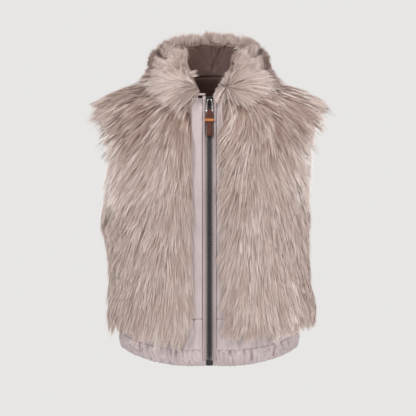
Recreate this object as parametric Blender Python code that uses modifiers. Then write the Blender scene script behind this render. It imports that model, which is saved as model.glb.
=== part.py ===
# Zip-up body warmer: fur fronts, back and stand collar on a woven shell, with a gathered hem.
# Metres, +Z up. The wearer faces -Y, and the origin is between the neck points of the shoulders.

import math
from collections import namedtuple

import bmesh
import bpy
import numpy as np
from mathutils import Matrix, Vector

# Driving dimensions
SEAM_GAP = 0.0003
CLOTH = 0.0015  # wall of the woven cloth
CLOTH_UNDER = 0.0006  # how far the woven cloth lies under the fur's backing
LINING_UNDER = 0.0026
PILE = 0.025  # fur on the body, backing to tips
NECK_PILE = 0.006  # fur pressed down under the collar
ZIP_EDGE_PILE = 0.010
HEM_EDGE_PILE = 0.022
HEM_OVERHANG = 0.026  # how far the fur hangs below its own seam
ARM_OVERHANG = 0.022  # how far the fur stands past the armhole
ARM_DROOP = 0.35  # how much of that hangs down
LOCK_DEPTH = 0.0045  # relief of the locks in the fur
ZIP_EDGE_X = 0.0315  # seam between placket and fur
FLAT_SHARE = 0.096  # length of the flat strip beside the zip facing, as a share of the rest of a front
LAP_SHARE = 0.04  # share of a front that the placket runs on under the fur, about 8 mm

# Lie of the fur
ARM_FRINGE = 0.72  # share across a panel where the fur starts to reach past the armhole
ARM_FRINGE_RISE = (0.35, 0.75)  # shares of the armhole's height over which that reach comes in
SEAM_CALM = 0.86  # share across a panel where the locks start to die away towards the side seam
ZIP_CALM = 0.14  # share across a front where the fur has its full depth
LOCKS_ACROSS = 23.0  # waves of the locks across a panel, in radians
LOCKS_SLANT = 2.1
LOCKS_UP = 7.0
LOCKS_TWIST = 4.0
COLLAR_PRESS = (0.02, 0.3)  # shares past the neck point between which the collar stops pressing the fur
PRESS_RISE = (0.1, 0.95)  # heights above the chest between which that pressing grows
HEM_THIN = 0.7  # height, in stations, over which the fur thins to its lower edge
COLLAR_LOCKS = 40.0
COLLAR_LOCK_SHARE = 0.10

# Neckline and shoulders
NECK_X = 0.078
NECK_FRONT_Y = -0.086
NECK_BACK_Y = 0.064
NECK_FRONT_Z = -0.018
NECK_SIDE_Z = 0.004
NECK_BACK_Z = 0.024
SHOULDER_X = 0.172
SHOULDER_Z = -0.032
SHOULDER_BEND = 1.4  # how late along its length the shoulder drops
NECK_SHARE = 0.42  # share of a panel's top edge that is neckline

# Collar
COLLAR_BACK = 0.056  # height at the back
COLLAR_FRONT = 0.054  # height of the front ends
COLLAR_FLARE = 0.003
COLLAR_INSET = 0.0008  # the collar stands this far inside the neckline
COLLAR_FOOT_TURN = math.radians(170)  # front end at the neckline, turned from the back
COLLAR_TOP_TURN = math.radians(152)  # front end at the top, fallen open
COLLAR_TURNS = np.linspace(-1.0, 1.0, 37)
NECK_BINDING_TALL = 0.0036
NECK_BINDING_THICK = 0.0030
NECK_BINDING_END = math.radians(159)

# Zip
ZIP_DEPTH = 0.0010  # front of the teeth under the fur's backing
CHAIN_HALF = 0.0046
CHAIN_THICK = 0.0040
TAPE_INNER = 0.0049
TAPE_OUTER = 0.0120
TAPE_UNDER = 0.0026
TAPE = 0.0010
FACING_INNER = 0.0068
FACING_OUTER = 0.0122
FACING_UNDER = 0.0012
FACING = 0.0018
PLACKET_INNER = FACING_OUTER + SEAM_GAP

# Hem
FRONT_GATHERS = 11
BACK_GATHERS = 22
GATHER_POINTS = 4  # columns of points to a gather
HEM_PUFF = 0.0048
HEM_INSIDE = 0.0030
HEM_PINCH = 0.30  # fullness left at a pinch
HEM_ROUND = (0.12, 0.92)  # stretch of a half wave that rounds the casing from its seam to its lower edge
YOKE_PUFF = 0.0024
GATHER_DRIFT = 0.011  # how uneven the gathers are
GATHER_DRIFT_WAVES = 31.0

# Stations across half a panel, from the hem up: the middle edge, the outer edge,
# and how far the section turns between them.
Station = namedtuple("Station", "place middle_z middle_y outer_z outer_x outer_y sweep")
FRONT = [
    Station("hem", -0.485, -0.106, -0.464, 0.1570, 0.0, 90),
    Station("casing seam", -0.458, -0.109, -0.437, 0.1605, 0.0, 90),
    Station("fur edge", -0.405, -0.112, -0.392, 0.1630, 0.0, 90),
    Station("waist", -0.330, -0.111, -0.328, 0.1590, 0.0, 90),
    Station("ribs", -0.255, -0.115, -0.260, 0.1585, 0.0, 90),
    Station("underarm", -0.182, -0.118, -0.196, 0.1600, 0.0, 90),
    Station("armhole foot", -0.148, -0.115, -0.178, 0.1570, -0.034, 74),
    Station("armhole middle", -0.113, -0.109, -0.134, 0.1530, -0.053, 60),
    Station("chest", -0.070, -0.098, -0.088, 0.1540, -0.049, 52),
]
BACK = [
    Station("hem", -0.485, 0.098, -0.464, 0.1570, 0.0, 90),
    Station("casing seam", -0.458, 0.101, -0.437, 0.1605, 0.0, 90),
    Station("fur edge", -0.405, 0.103, -0.392, 0.1630, 0.0, 90),
    Station("waist", -0.330, 0.095, -0.328, 0.1590, 0.0, 90),
    Station("ribs", -0.255, 0.098, -0.260, 0.1585, 0.0, 90),
    Station("underarm", -0.182, 0.104, -0.196, 0.1600, 0.0, 90),
    Station("armhole foot", -0.148, 0.105, -0.178, 0.1575, 0.031, 74),
    Station("armhole middle", -0.108, 0.104, -0.134, 0.1550, 0.048, 60),
    Station("blades", -0.062, 0.098, -0.088, 0.1560, 0.044, 52),
]
PLACES = [station.place for station in FRONT]
HEM = float(PLACES.index("hem"))
CASING = float(PLACES.index("casing seam"))
FUR_EDGE = float(PLACES.index("fur edge"))
UNDERARM = float(PLACES.index("underarm"))
CHEST = float(len(PLACES) - 1)
TOP = CHEST + 1.0  # neckline and shoulder seam
YOKE_TOP = FUR_EDGE + 0.03  # the yoke runs on under the fur
LINING_FOOT = CASING + 0.15
LINING_TOP = TOP - 0.02
LINING_EDGE = 0.97  # the back lining stops short of the side seam and the armhole
SEAM_STEP = 0.006  # clear of a seam, as a share of a station's height

# Flat core that the fur stands away from: half its width at the waist and at the shoulders
CORE_HALF_WAIST = 0.050
CORE_HALF_SHOULDER = 0.110
CORE_TOP = -0.070
CORE_WAIST = -0.190

# Section of the collar's fur, from the foot to the top edge
CollarFur = namedtuple("CollarFur", "height out up")
COLLAR_FUR = [
    CollarFur(0.15, 0.022, 0.004),
    CollarFur(0.28, 0.031, 0.005),
    CollarFur(0.46, 0.031, 0.008),
    CollarFur(0.64, 0.028, 0.013),
    CollarFur(0.82, 0.020, 0.019),
    CollarFur(0.94, 0.010, 0.024),
    CollarFur(1.00, 0.002, 0.024),
]

# Slider and pull, in the slider's own axes: X across, Z up along the zip, -Y outward
SLIDER_AT = TOP - 0.17  # place of the slider's middle along the zip
SLIDER_HALF = 0.0063
SLIDER_TALL = 0.0150
SLIDER_EDGE = 0.0005
PLATE = 0.0018
POST_HALF = 0.0022
POST_FOOT = 0.0035
POST_TOP = 0.0070
BRIDGE_REACH = 0.0080
BRIDGE_HALF = 0.0058
BRIDGE_WIRE = 0.0012
BRIDGE_BEND = 0.7  # under 1 makes the bridge's arch squarer
RING_WIRE = 0.0011
RING_TOP_HALF = 0.0040
RING_FOOT_HALF = 0.0056
RING_TALL = 0.0205
RING_CORNER = 0.0012
CORNER_CUT = 0.3  # share of a corner's reach that its middle point keeps
HINGE_OUT = BRIDGE_REACH - BRIDGE_WIRE - RING_WIRE - SEAM_GAP
STRAP_THICK = 0.0016
KEEPER_TOP = 0.0358
KEEPER_TALL = 0.0048
KEEPER_HOLE_HALF = 0.0070
KEEPER_HOLE_DEEP = 0.0021
KEEPER_WALL = 0.0012
ZIP_BOX = (0.0112, 0.0058, 0.0100)
ZIP_BOX_AT = HEM + 0.19
ZIP_BOX_EDGE = 0.0012
CHAIN_FOOT = HEM + 0.43
CHAIN_TOP = SLIDER_AT + 0.04
TAPE_FOOT = HEM + 0.55

# Half width of the strap down its length, below the hinge
StrapWidth = namedtuple("StrapWidth", "drop half")
STRAP_WIDTHS = [
    StrapWidth(0.0170, 0.0036),
    StrapWidth(0.0235, 0.0038),
    StrapWidth(0.0280, 0.0062),
    StrapWidth(0.0344, 0.0064),
    StrapWidth(0.0355, 0.0046),
    StrapWidth(0.0413, 0.0046),
    StrapWidth(0.0645, 0.0049),
    StrapWidth(0.0665, 0.0045),
]

Finish = namedtuple("Finish", "colour roughness metallic")
FUR = Finish((0.42, 0.33, 0.28), 0.85, 0.0)
SHELL = Finish((0.53, 0.45, 0.43), 0.42, 0.0)
LINING = Finish((0.22, 0.17, 0.14), 0.50, 0.0)
TEETH = Finish((0.03, 0.03, 0.03), 0.35, 0.0)
SLIDER = Finish((0.01, 0.01, 0.01), 0.25, 0.6)
RING = Finish((0.60, 0.59, 0.57), 0.25, 1.0)
STRAP = Finish((0.16, 0.06, 0.03), 0.50, 0.0)
KEEPER = Finish((0.38, 0.15, 0.05), 0.55, 0.0)


def clear_scene():
    for item in list(bpy.data.objects):
        bpy.data.objects.remove(item, do_unlink=True)


def make_material(name, finish):
    material = bpy.data.materials.new(name)
    material.use_nodes = True
    shader = material.node_tree.nodes["Principled BSDF"]
    shader.inputs["Base Color"].default_value = (*finish.colour, 1.0)
    shader.inputs["Roughness"].default_value = finish.roughness
    shader.inputs["Metallic"].default_value = finish.metallic
    return material


def add_part(name, mesh, finish):
    part = bpy.data.objects.new(name, mesh)
    mesh.materials.append(make_material(name, finish))
    bpy.data.collections["body_warmer"].objects.link(part)
    return part


def mesh_from(shape, name, smooth=True):
    bmesh.ops.recalc_face_normals(shape, faces=shape.faces)
    if shape.calc_volume(signed=True) < 0.0:
        bmesh.ops.reverse_faces(shape, faces=shape.faces)
    mesh = bpy.data.meshes.new(name)
    shape.to_mesh(mesh)
    shape.free()
    if smooth:
        mesh.shade_smooth()
        mesh.set_sharp_from_angle(angle=math.radians(50))
    return mesh


def wall(name, inner, outer, finish):
    # A grid of faces laid on the inner points and extruded to the outer ones closes the wall all round.
    rows, columns = inner.shape[:2]
    shape = bmesh.new()
    bmesh.ops.create_grid(shape, x_segments=columns - 1, y_segments=rows - 1, size=1.0)
    row_of = shape.verts.layers.int.new("row")
    column_of = shape.verts.layers.int.new("column")
    for vert in shape.verts:
        vert[row_of] = round((vert.co.y + 1.0) / 2.0 * (rows - 1))
        vert[column_of] = round((vert.co.x + 1.0) / 2.0 * (columns - 1))
    grown = bmesh.ops.extrude_face_region(shape, geom=shape.faces[:], use_keep_orig=True)["geom"]
    outside = {item for item in grown if isinstance(item, bmesh.types.BMVert)}
    for vert in shape.verts:
        points = outer if vert in outside else inner
        vert.co = points[vert[row_of], vert[column_of]]
    return add_part(name, mesh_from(shape, name), finish)


def ease(value, low, high):
    share = np.clip((np.asarray(value, dtype=float) - low) / (high - low), 0.0, 1.0)
    return share * share * (3.0 - 2.0 * share)


def through(rows, at):
    # Cubic through the rows at 0, 1, 2 and so on that never overshoots them, read at the places given.
    step = np.diff(rows, axis=0)
    before, after = step[:-1], step[1:]
    same_way = before * after > 0.0
    slope = np.zeros_like(rows)
    slope[0], slope[-1] = step[0], step[-1]
    slope[1:-1] = np.where(same_way, 2.0 * before * after / np.where(same_way, before + after, 1.0), 0.0)
    start = np.clip(at.astype(int), 0, len(rows) - 2)
    share = (at - start).reshape(-1, *([1] * (rows.ndim - 1)))
    rise = share * share * (3.0 - 2.0 * share)
    leave = share * (1.0 - share) ** 2
    arrive = share * share * (share - 1.0)
    return (
        rows[start] * (1.0 - rise)
        + rows[start + 1] * rise
        + slope[start] * leave
        + slope[start + 1] * arrive
    )


def top_edge(across, front):
    # Neckline to the neck point of the shoulder, then the shoulder seam.
    middle_x = ZIP_EDGE_X if front else 0.0
    depth = NECK_FRONT_Y if front else NECK_BACK_Y
    middle_z = NECK_FRONT_Z if front else NECK_BACK_Z
    start = math.asin(middle_x / NECK_X)
    on_neck = np.clip(across / NECK_SHARE, 0.0, 1.0)
    turn = start + on_neck * (math.pi / 2 - start)
    along = np.clip((across - NECK_SHARE) / (1.0 - NECK_SHARE), 0.0, 1.0)
    x = NECK_X * np.sin(turn) + along * (SHOULDER_X - NECK_X)
    y = depth * np.cos(turn) + math.copysign(SEAM_GAP / 2, depth)
    z = NECK_SIDE_Z + (middle_z - NECK_SIDE_Z) * np.cos(turn)
    z = z + along**SHOULDER_BEND * (SHOULDER_Z - NECK_SIDE_Z)
    x = np.where(across < 0.0, middle_x * (1.0 + across), x)
    return np.stack([x, y, z], axis=-1)


def half_panel(stations, across, up):
    # Points of half a panel at x > 0. Across runs from 0 at the middle edge to 1 at the side,
    # and from -1 at the zip.
    front = stations is FRONT
    middle_x = ZIP_EDGE_X if front else 0.0
    rows = []
    for station in stations:
        sweep = math.radians(station.sweep)
        turn = np.clip(across, 0.0, 1.0) * sweep
        outer_y = station.outer_y + math.copysign(SEAM_GAP / 2, station.middle_y)
        bow = (np.cos(turn) - math.cos(sweep)) / (1.0 - math.cos(sweep))
        x = middle_x + (station.outer_x - middle_x) * np.sin(turn) / math.sin(sweep)
        x = np.where(across < 0.0, middle_x * (1.0 + across), x)
        y = outer_y + (station.middle_y - outer_y) * bow
        z = station.middle_z + (station.outer_z - station.middle_z) * ease(across, 0.0, 1.0)
        rows.append(np.stack([x, y, z], axis=-1))
    points = through(np.array(rows), np.minimum(up, CHEST))
    lift = np.clip(up - CHEST, 0.0, 1.0)[:, None]
    roll = np.clip(across / NECK_SHARE, 0.0, 1.0)[None, :]
    rising = lift + (np.sin(lift * math.pi / 2) - lift) * roll
    leaning = lift + (1.0 - np.cos(lift * math.pi / 2) - lift) * roll
    share = np.stack([np.broadcast_to(lift, rising.shape), leaning, rising], axis=-1)
    return points + (top_edge(across, front)[None] - points) * share


def mirrored(points, side):
    return points * np.array([side, 1.0, 1.0])


def back_panel(across, up):
    points = half_panel(BACK, np.abs(across), up)
    points[..., 0] *= np.where(across < 0.0, -1.0, 1.0)
    return points


def outward(points):
    # Direction away from the flat core at each point, so both sides of a seam share it.
    x, y, z = points[..., 0], points[..., 1], points[..., 2]
    half = CORE_HALF_WAIST + (CORE_HALF_SHOULDER - CORE_HALF_WAIST) * ease(z, CORE_WAIST, CORE_TOP)
    away = np.stack([x - np.clip(x, -half, half), y, z - np.minimum(z, CORE_TOP)], axis=-1)
    return away / np.linalg.norm(away, axis=-1, keepdims=True)


def moved_out(points, distance):
    return points + outward(points) * np.asarray(distance)[..., None]


def fur_skin(points, across, up, zip_edge):
    # Tips of the fur over a panel: thin at the zip, pressed under the collar, hanging past hem and armhole.
    share, rise = np.abs(across)[None, :], up[:, None]
    pressed = 1.0 - ease(share - NECK_SHARE, *COLLAR_PRESS)
    on_neck = pressed * ease(rise - CHEST, *PRESS_RISE)
    up_arm = np.clip((rise - UNDERARM) / (TOP - UNDERARM), 0.0, 1.0)
    at_arm = ease(share, ARM_FRINGE, 1.0) * ease(up_arm, *ARM_FRINGE_RISE)
    at_hem = 1.0 - ease(rise, FUR_EDGE, FUR_EDGE + HEM_THIN)
    inside = (1.0 - ease(share, SEAM_CALM, 1.0)) * (1.0 - ease(rise, TOP - 0.5, TOP))
    slanting = np.sin(share * LOCKS_ACROSS + rise * LOCKS_SLANT)
    locks = slanting * np.sin(rise * LOCKS_UP - share * LOCKS_TWIST)
    pile = PILE + LOCK_DEPTH * locks * inside
    pile = np.minimum(pile, PILE - (PILE - HEM_EDGE_PILE) * at_hem)
    pile = np.minimum(pile, PILE - (PILE - NECK_PILE) * on_neck)
    if zip_edge:
        pile = np.minimum(pile, PILE - (PILE - ZIP_EDGE_PILE) * (1.0 - ease(share, 0.0, ZIP_CALM)))
    skin = moved_out(points, pile)
    sideways = np.sign(points[..., 0]) * at_arm * ARM_OVERHANG
    down = at_arm * ARM_OVERHANG * ARM_DROOP + at_hem * HEM_OVERHANG
    return skin + np.stack([sideways, np.zeros_like(sideways), -down], axis=-1)


def front_rows():
    return np.concatenate([np.linspace(FUR_EDGE, UNDERARM, 13)[:-1], np.linspace(UNDERARM, TOP, 15)])


def fur_front(name, side):
    across = np.linspace(0.0, 1.0, 15)
    up = front_rows()
    backing = half_panel(FRONT, across, up)
    wall(name, mirrored(backing, side), mirrored(fur_skin(backing, across, up, True), side), FUR)


def fur_back(name):
    across = np.linspace(-1.0, 1.0, 27)
    up = np.concatenate([np.linspace(FUR_EDGE, UNDERARM, 11)[:-1], np.linspace(UNDERARM, TOP, 13)])
    backing = back_panel(across, up)
    wall(name, backing, fur_skin(backing, across, up, False), FUR)


def zip_share(x):
    # Place across a front of a point on the flat strip beside the zip.
    return x / ZIP_EDGE_X - 1.0


def gather_places(gathers):
    # Uneven shares along a seam, at the pinches of its gathers and between them, and how full each is.
    even = np.linspace(0.0, 1.0, gathers * GATHER_POINTS + 1)
    uneven = even + GATHER_DRIFT * np.sin(even * GATHER_DRIFT_WAVES) * np.sin(even * math.pi)
    return uneven, np.abs(np.sin(even * gathers * math.pi))


def along_front(places):
    # Even lengths from the zip facing to the side seam, as places across a front.
    length = places * (1.0 + FLAT_SHARE)
    flat = zip_share(PLACKET_INNER) * (1.0 - length / FLAT_SHARE)
    return np.where(length < FLAT_SHARE, flat, length - FLAT_SHARE)


def along_back(places):
    return places * 2.0 - 1.0


def hem_walls(points, up, swell):
    # The elastic casing: a folded band, full between the pinches of its gathers and drawn in at them.
    seam, edge = HEM_ROUND
    rounding = np.sin((seam + (edge - seam) * (CASING - up) / (CASING - HEM)) * math.pi)[:, None]
    puff = HEM_PUFF * rounding * (HEM_PINCH + (1.0 - HEM_PINCH) * swell[None, :]) - CLOTH_UNDER
    return moved_out(points, np.full(points.shape[:2], -HEM_INSIDE)), moved_out(points, puff)


def yoke_walls(points, up, swell):
    # Plain cloth above the casing: its gathers run up out of the seam and die away under the fur.
    dying = (1.0 - ease(up, CASING, FUR_EDGE - 0.25))[:, None]
    puff = YOKE_PUFF * dying * swell[None, :] - CLOTH_UNDER
    return moved_out(points, puff - CLOTH), moved_out(points, puff)


def hem_rows():
    return np.linspace(HEM, CASING - SEAM_STEP, 5)


def yoke_rows():
    return np.array([CASING + SEAM_STEP, CASING + 0.35, CASING + 0.7, YOKE_TOP])


def hem_front(name, side):
    places, swell = gather_places(FRONT_GATHERS)
    inner, outer = hem_walls(half_panel(FRONT, along_front(places), hem_rows()), hem_rows(), swell)
    wall(name, mirrored(inner, side), mirrored(outer, side), SHELL)


def hem_back(name):
    places, swell = gather_places(BACK_GATHERS)
    wall(name, *hem_walls(back_panel(along_back(places), hem_rows()), hem_rows(), swell), SHELL)


def yoke_front(name, side):
    places, swell = (row[::2] for row in gather_places(FRONT_GATHERS))
    inner, outer = yoke_walls(half_panel(FRONT, along_front(places), yoke_rows()), yoke_rows(), swell)
    wall(name, mirrored(inner, side), mirrored(outer, side), SHELL)


def yoke_back(name):
    places, swell = (row[::2] for row in gather_places(BACK_GATHERS))
    wall(name, *yoke_walls(back_panel(along_back(places), yoke_rows()), yoke_rows(), swell), SHELL)


def lining_back(name):
    across = np.linspace(-LINING_EDGE, LINING_EDGE, 19)
    below = np.linspace(LINING_FOOT, UNDERARM, 7)[:-1]
    up = np.concatenate([below, np.linspace(UNDERARM, LINING_TOP, 8)])
    points = back_panel(across, up)
    level = np.full(points.shape[:2], -LINING_UNDER)
    wall(name, moved_out(points, level - CLOTH), moved_out(points, level), LINING)


def zip_strip(name, side, across, under, thick, rows, finish):
    # A narrow strip along the zip, on the places given across a front.
    points = half_panel(FRONT, np.array(across), rows)
    level = np.full(points.shape[:2], -under)
    inner, outer = moved_out(points, level - thick), moved_out(points, level)
    wall(name, mirrored(inner, side), mirrored(outer, side), finish)


def plackets(name, side):
    inner = zip_share(PLACKET_INNER)
    rows = np.concatenate([[YOKE_TOP + SEAM_STEP], front_rows()[1:-1]])
    zip_strip(name, side, [inner, inner / 2, 0.0, LAP_SHARE], CLOTH_UNDER, CLOTH, rows, SHELL)


def zip_facing(name, side):
    inner, outer = zip_share(FACING_INNER), zip_share(FACING_OUTER)
    rows = np.linspace(HEM, TOP, 25)
    zip_strip(name, side, [inner, (inner + outer) / 2, outer], FACING_UNDER - FACING, FACING, rows, SHELL)


def zip_tape(name, side):
    rows = np.linspace(TAPE_FOOT, TOP, 25)
    zip_strip(name, side, [zip_share(TAPE_INNER), zip_share(TAPE_OUTER)], TAPE_UNDER, TAPE, rows, SHELL)


def zip_chain(name):
    rows = np.linspace(CHAIN_FOOT, CHAIN_TOP, 25)
    half = half_panel(FRONT, zip_share(np.array([0.0, CHAIN_HALF])), rows)
    points = np.concatenate([mirrored(half[:, 1:], -1.0), half], axis=1)
    level = np.full(points.shape[:2], -ZIP_DEPTH)
    wall(name, moved_out(points, level - CHAIN_THICK), moved_out(points, level), TEETH)


def neck_ring(turn, out, scale):
    # The neckline at a turn from the back, moved out, scaled in plan, and straight across beside the zip.
    flat = math.pi - math.asin(ZIP_EDGE_X / NECK_X)
    bow = np.cos(np.minimum(np.abs(turn), flat))
    behind = np.abs(turn) < math.pi / 2
    depth = np.where(behind, NECK_BACK_Y, -NECK_FRONT_Y) + out
    rise = np.where(behind, NECK_BACK_Z - NECK_SIDE_Z, NECK_SIDE_Z - NECK_FRONT_Z)
    x = (NECK_X + out) * scale * np.sin(turn)
    return np.stack([x, depth * scale * bow, NECK_SIDE_Z + rise * bow], axis=-1)


def collar_points(turns, heights):
    # Stand collar on the neckline. Turn runs round from the back, and the front ends fall open at the top.
    high = heights[:, None]
    turn = turns[None, :] * (COLLAR_FOOT_TURN + (COLLAR_TOP_TURN - COLLAR_FOOT_TURN) * high)
    tall = COLLAR_BACK + (COLLAR_FRONT - COLLAR_BACK) * (1.0 - np.cos(turn)) / 2.0
    points = neck_ring(turn, -COLLAR_INSET, 1.0 + COLLAR_FLARE / NECK_X * high)
    points[..., 2] += high * tall
    depth = np.where(np.abs(turn) < math.pi / 2, NECK_BACK_Y, -NECK_FRONT_Y)
    away = np.stack([np.sin(turn) * depth, np.cos(turn) * NECK_X, np.zeros_like(turn)], axis=-1)
    return points, away / np.linalg.norm(away, axis=-1, keepdims=True)


def collar_fur(name):
    points, away = collar_points(COLLAR_TURNS, np.array([row.height for row in COLLAR_FUR]))
    locks = 1.0 + COLLAR_LOCK_SHARE * np.sin(COLLAR_TURNS * COLLAR_LOCKS)
    outer = points + away * (np.array([row.out for row in COLLAR_FUR])[:, None] * locks)[..., None]
    outer[..., 2] += np.array([row.up for row in COLLAR_FUR])[:, None]
    wall(name, points, outer, FUR)


def collar_facing(name):
    heights = np.array([0.0] + [row.height for row in COLLAR_FUR[:-1]])
    points, away = collar_points(COLLAR_TURNS, heights)
    wall(name, points - away * (SEAM_GAP + CLOTH), points - away * SEAM_GAP, LINING)


def neck_binding(name, side):
    # A short folded strip that closes the neckline between the zip and the collar's front end.
    turn = np.linspace(math.pi - math.asin(FACING_INNER / NECK_X), NECK_BINDING_END, 7)
    lift = np.array([SEAM_GAP, SEAM_GAP + NECK_BINDING_TALL])[:, None, None] * np.array([0.0, 0.0, 1.0])
    inner = neck_ring(turn, -COLLAR_INSET, 1.0)[None] + lift
    outer = neck_ring(turn, NECK_BINDING_THICK - COLLAR_INSET, 1.0)[None] + lift
    wall(name, mirrored(inner, side), mirrored(outer, side), SHELL)


def zip_axes(at):
    # Point of the zip's middle line and the frame there: X across, Z up the zip, -Y outward.
    points = half_panel(FRONT, zip_share(np.array([0.0])), np.array([at - 0.1, at, at + 0.1]))[:, 0]
    up = Vector(points[2] - points[0]).normalized()
    across = Vector((1.0, 0.0, 0.0))
    inward = up.cross(across)
    turn = Matrix((across, inward, up)).transposed().to_4x4()
    return Matrix.Translation(Vector(points[1])) @ turn


def box(shape, size, centre):
    placed = Matrix.Translation(centre) @ Matrix.Diagonal((*size, 1.0))
    return bmesh.ops.create_cube(shape, size=1.0, matrix=placed)["verts"]


def guide_part(name, mesh):
    guide = bpy.data.objects.new(name, mesh)
    guide.hide_render = True
    guide.display_type = "WIRE"
    bpy.data.collections["cutters"].objects.link(guide)
    return guide


def wire_mesh(name, points, radius, cyclic):
    # A bent wire as a mesh: a curve with a bevel, its caps welded.
    curve = bpy.data.curves.new(name, "CURVE")
    curve.dimensions = "3D"
    curve.bevel_depth = radius
    curve.bevel_resolution = 2
    curve.use_fill_caps = not cyclic
    spline = curve.splines.new("POLY")
    spline.points.add(len(points) - 1)
    for point, place in zip(spline.points, points):
        point.co = (*place, 1.0)
    spline.use_cyclic_u = cyclic
    wire = bpy.data.objects.new(name, curve)
    bpy.context.scene.collection.objects.link(wire)
    bpy.context.view_layer.update()
    mesh = bpy.data.meshes.new_from_object(wire.evaluated_get(bpy.context.evaluated_depsgraph_get()))
    bpy.data.objects.remove(wire, do_unlink=True)
    shape = bmesh.new()
    shape.from_mesh(mesh)
    bmesh.ops.remove_doubles(shape, verts=shape.verts, dist=0.00001)
    bpy.data.meshes.remove(mesh)
    return mesh_from(shape, name)


def bevelled(part, width):
    bevel = part.modifiers.new("rounded edges", "BEVEL")
    bevel.width = width
    bevel.segments = 2
    bevel.limit_method = "ANGLE"
    bevel.angle_limit = math.radians(50)


def join_shape(part, mesh, name):
    union = part.modifiers.new(name, "BOOLEAN")
    union.operation = "UNION"
    union.solver = "EXACT"
    union.object = guide_part(name, mesh)
    union.object.matrix_world = part.matrix_world


def zip_slider(name, frame):
    # Two plates round the chain, joined by a post above it, with a bridge on the front for the ring.
    front_y = ZIP_DEPTH - SEAM_GAP - PLATE / 2
    rear_y = ZIP_DEPTH + CHAIN_THICK + SEAM_GAP + PLATE / 2
    plate_size = (2 * SLIDER_HALF, PLATE, SLIDER_TALL)
    front, rear, post = bmesh.new(), bmesh.new(), bmesh.new()
    box(front, plate_size, (0.0, front_y, 0.0))
    box(rear, plate_size, (0.0, rear_y, 0.0))
    post_size = (2 * POST_HALF, rear_y - front_y, POST_TOP - POST_FOOT)
    box(post, post_size, (0.0, (front_y + rear_y) / 2, (POST_TOP + POST_FOOT) / 2))
    bends = np.linspace(0.0, math.pi, 11)
    reach = [BRIDGE_REACH * math.sin(bend) ** BRIDGE_BEND for bend in bends]
    arch = [(0.0, -out, -BRIDGE_HALF * math.cos(bend)) for out, bend in zip(reach, bends)]
    slider = add_part(name, mesh_from(front, name, False), SLIDER)
    slider.matrix_world = frame
    bevelled(slider, SLIDER_EDGE)
    join_shape(slider, mesh_from(post, "slider post", False), "slider post")
    join_shape(slider, mesh_from(rear, "slider rear plate", False), "slider rear plate")
    join_shape(slider, wire_mesh("slider bridge", arch, BRIDGE_WIRE, False), "slider bridge")


def rounded_loop(corners, reach):
    # Each corner as three points, cut back along both of its sides.
    places = []
    for number, corner in enumerate(corners):
        back = (corners[number - 1] - corner).normalized() * reach
        ahead = (corners[(number + 1) % len(corners)] - corner).normalized() * reach
        places += [corner + back, corner + (back + ahead) * CORNER_CUT, corner + ahead]
    return places


def pull_ring(name, hinge):
    top, foot = RING_TOP_HALF, RING_FOOT_HALF
    sides = [(-top, 0.0), (top, 0.0), (foot, -RING_TALL), (-foot, -RING_TALL)]
    places = rounded_loop([Vector((x, 0.0, z)) for x, z in sides], RING_CORNER)
    ring = add_part(name, wire_mesh(name, places, RING_WIRE, True), RING)
    ring.parent = hinge


def pull_strap(name, hinge):
    # A leather strip folded round the ring's lower bar, its two ends hanging together.
    turn_radius = RING_WIRE + SEAM_GAP + STRAP_THICK / 2
    hanging = SEAM_GAP + STRAP_THICK / 2
    drops = [row.drop for row in STRAP_WIDTHS[1:]]
    front = [(-hanging, -drop) for drop in reversed(drops)]
    bends = np.linspace(math.radians(-10), math.radians(190), 9)
    loop = [(-turn_radius * math.cos(bend), -RING_TALL + turn_radius * math.sin(bend)) for bend in bends]
    back = [(hanging, -drop) for drop in drops]
    path = np.array(front + loop + back)
    ahead = np.gradient(path, axis=0)
    ahead = ahead / np.linalg.norm(ahead, axis=1, keepdims=True)
    side = np.stack([-ahead[:, 1], ahead[:, 0]], axis=1) * STRAP_THICK / 2
    half = np.interp(-path[:, 1], [row.drop for row in STRAP_WIDTHS], [row.half for row in STRAP_WIDTHS])

    def face(places):
        edges = np.stack([-half, half], axis=1)
        rest = np.broadcast_to(places[:, None, :], (*edges.shape, 2))
        return np.concatenate([edges[..., None], rest], axis=-1)

    strap = wall(name, face(path - side), face(path + side), STRAP)
    strap.parent = hinge


def pull_keeper(name, hinge):
    shape = bmesh.new()
    middle = -KEEPER_TOP - KEEPER_TALL / 2
    box(shape, (2 * KEEPER_HOLE_HALF, 2 * KEEPER_HOLE_DEEP, KEEPER_TALL), (0.0, 0.0, middle))
    ends = [face for face in shape.faces if abs(face.normal.z) > 0.5]
    bmesh.ops.delete(shape, geom=ends, context="FACES_ONLY")
    keeper = add_part(name, mesh_from(shape, name, False), KEEPER)
    band = keeper.modifiers.new("band", "SOLIDIFY")
    band.thickness = KEEPER_WALL
    band.offset = 1.0
    band.use_even_offset = True
    keeper.parent = hinge


def zip_box(name):
    shape = bmesh.new()
    box(shape, ZIP_BOX, (0.0, ZIP_DEPTH + CHAIN_THICK / 2, 0.0))
    part = add_part(name, mesh_from(shape, name, False), TEETH)
    part.matrix_world = zip_axes(ZIP_BOX_AT)
    bevelled(part, ZIP_BOX_EDGE)


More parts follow.
